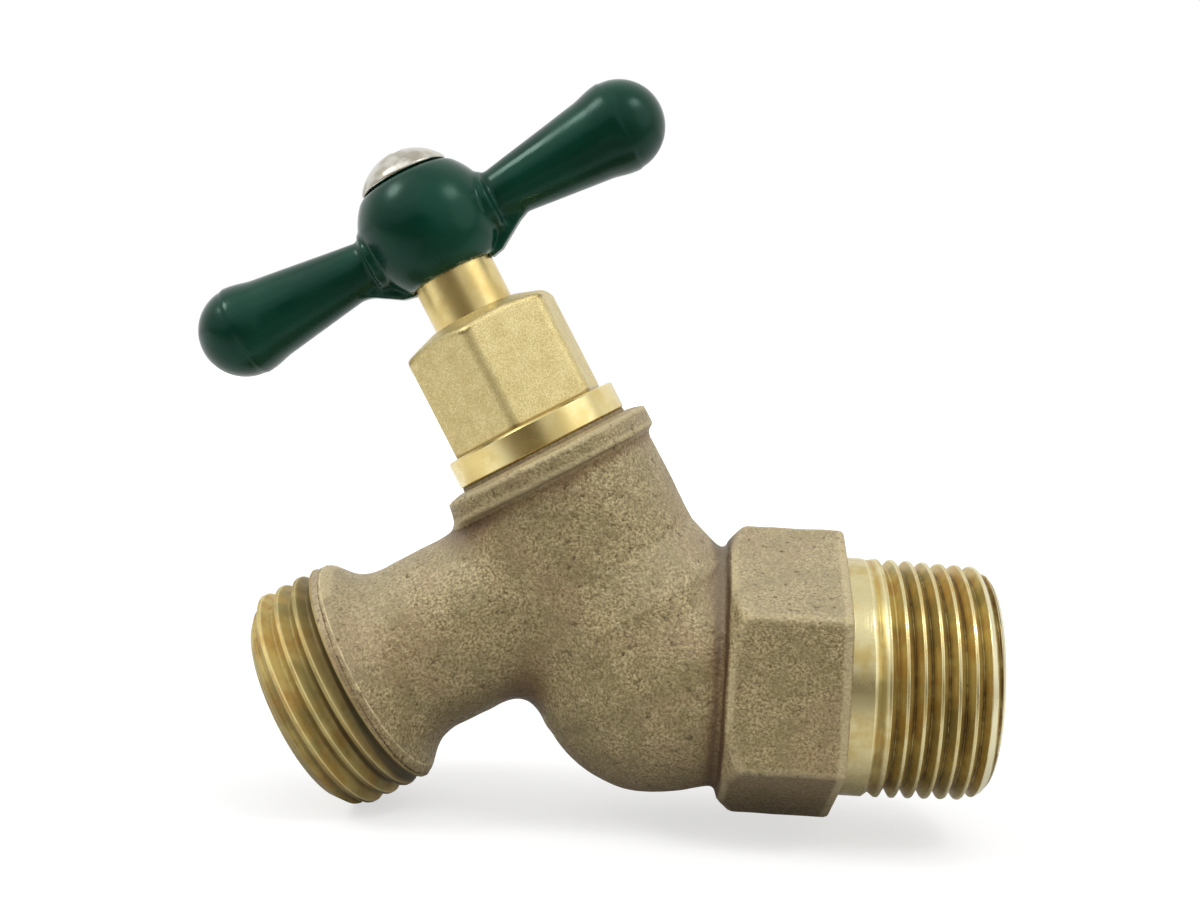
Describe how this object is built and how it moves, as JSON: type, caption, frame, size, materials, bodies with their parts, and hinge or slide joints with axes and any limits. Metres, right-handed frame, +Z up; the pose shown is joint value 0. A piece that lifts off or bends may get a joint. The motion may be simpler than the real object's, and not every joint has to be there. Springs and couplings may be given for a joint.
{
  "type": "hose bibb",
  "caption": "Angle hose valve with a threaded pipe inlet, a threaded hose outlet, a hex bonnet, a leaning rising stem and a tee handle.",
  "frame": {"origin": "middle of the inlet's end face", "axes": "+X along the inlet, out of its end; +Z up; the inlet, stem and outlet axes all lie in the XZ plane"},
  "size_m": [0.0917, 0.0288, 0.0841],
  "materials": {
    "cast_bronze": "matte",
    "forged_brass": "satin",
    "turned_brass": "polished",
    "green_enamel": "gloss",
    "nickel": "satin",
    "spring_steel": "satin",
    "rubber": "matte",
    "fibre": "matte"
  },
  "bodies": {
    "valve": {"valve_body": "cast_bronze", "bonnet": "forged_brass", "bonnet_gasket": "fibre", "stem_o_ring_lower": "rubber", "stem_o_ring_upper": "rubber"},
    "disc": {"disc_holder": "turned_brass", "retaining_ring": "spring_steel", "seat_washer": "rubber", "washer_screw": "turned_brass"},
    "handle_and_stem": {"stem": "turned_brass", "handle": "green_enamel", "handle_screw": "nickel"}
  },
  "joints": [
    {"name": "stem_lift", "type": "slide", "parent": "valve", "child": "disc", "axis": [-0.5, 0, 0.866], "range_m": [0, 0.00714]},
    {"name": "handle_turn", "type": "hinge", "parent": "disc", "child": "handle_and_stem", "pos_m": [-0.0373, 0, 0], "axis": [-0.5, 0, 0.866], "range_deg": [0, 810]}
  ],
  "couplings": [
    {"joint": "handle_turn", "follows": "stem_lift", "rad_per_m": 1979}
  ]
}
